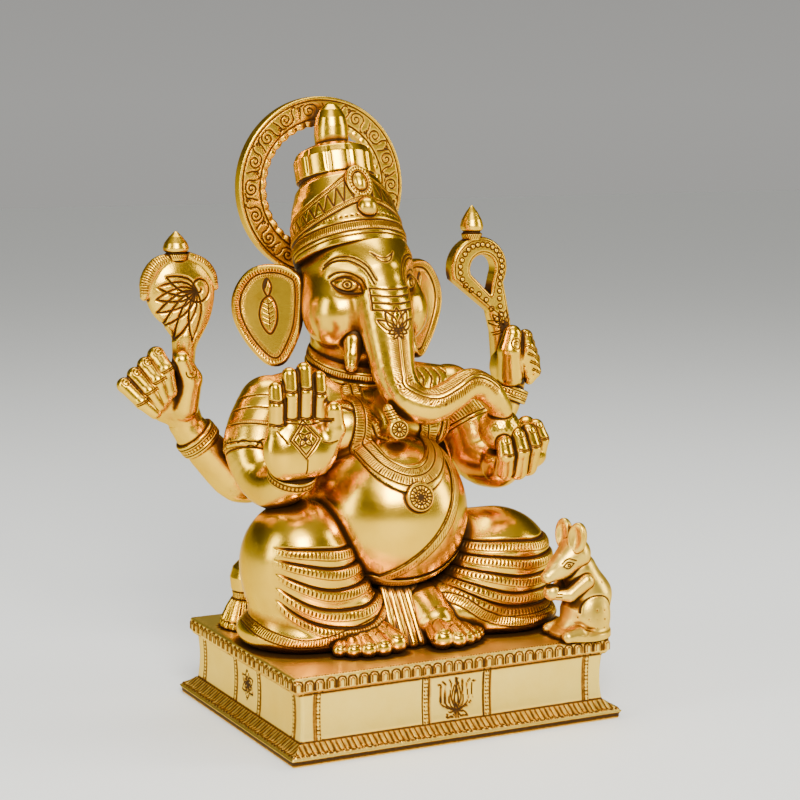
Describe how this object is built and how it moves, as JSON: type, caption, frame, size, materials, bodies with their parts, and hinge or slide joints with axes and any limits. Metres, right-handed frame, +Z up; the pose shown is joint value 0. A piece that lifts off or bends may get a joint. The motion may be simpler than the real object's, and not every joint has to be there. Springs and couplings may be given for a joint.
{
  "type": "seated elephant-headed deity idol",
  "caption": "Cast brass seated elephant-headed deity with four arms, ring halo and a mouse, on a hollow rectangular plinth.",
  "frame": {"origin": "centre of the rectangle of the plinth's underside, in the plane it rests on", "axes": "+Z up, the figure faces -Y, +X is the figure's left (the viewer's right from in front)"},
  "size_m": [0.291, 0.1788, 0.3775],
  "materials": {
    "plinth_brass": "satin, engraved, dark oxide in the grooves",
    "figure_brass": "polished, dark brown oxide in the grooves",
    "ornament_brass": "polished on the high spots, engraved and oxidised between",
    "mouse_brass": "polished, dark brown oxide in the grooves",
    "fixing_steel": "zinc-plated"
  },
  "bodies": {
    "root": {"crown_boss": "ornament_brass", "crown_casting": "figure_brass", "crown_drum": "figure_brass", "crown_finial": "figure_brass", "crown_jewel": "ornament_brass", "dhoti_pleats": "figure_brass", "figure_nuts": "fixing_steel", "figure_studs": "fixing_steel", "figure_washers": "fixing_steel", "front_left_arm": "figure_brass", "front_left_hand": "figure_brass", "front_right_arm": "figure_brass", "front_right_bangle": "ornament_brass", "front_right_hand": "figure_brass", "garland": "ornament_brass", "garland_medallion": "ornament_brass", "goad_emblem": "figure_brass", "goad_finial": "figure_brass", "halo_ring": "ornament_brass", "halo_screws": "fixing_steel", "head_casting": "figure_brass", "laddoo_sweet": "figure_brass", "left_cloth_end": "figure_brass", "left_ear": "figure_brass", "left_foot": "figure_brass", "left_leg": "figure_brass", "left_tusk": "figure_brass", "mouse_body": "mouse_brass", "mouse_head": "mouse_brass", "mouse_left_ear": "mouse_brass", "mouse_nut": "fixing_steel", "mouse_paws": "mouse_brass", "mouse_right_ear": "mouse_brass", "mouse_stud": "fixing_steel", "mouse_sweet": "mouse_brass", "mouse_washer": "fixing_steel", "neck_collar": "ornament_brass", "noose_emblem": "figure_brass", "noose_finial": "figure_brass", "plinth_casting": "plinth_brass", "rear_left_arm": "figure_brass", "rear_left_bangle": "ornament_brass", "rear_left_hand": "figure_brass", "rear_right_arm": "figure_brass", "rear_right_bangle": "ornament_brass", "rear_right_hand": "figure_brass", "right_armlet": "ornament_brass", "right_cloth_end": "figure_brass", "right_ear": "figure_brass", "right_foot": "figure_brass", "right_leg": "figure_brass", "right_tusk": "figure_brass", "sacred_thread": "ornament_brass", "throat_pendant": "ornament_brass", "torso_casting": "figure_brass", "trunk": "figure_brass", "waist_belt": "ornament_brass"}
  },
  "joints": []
}
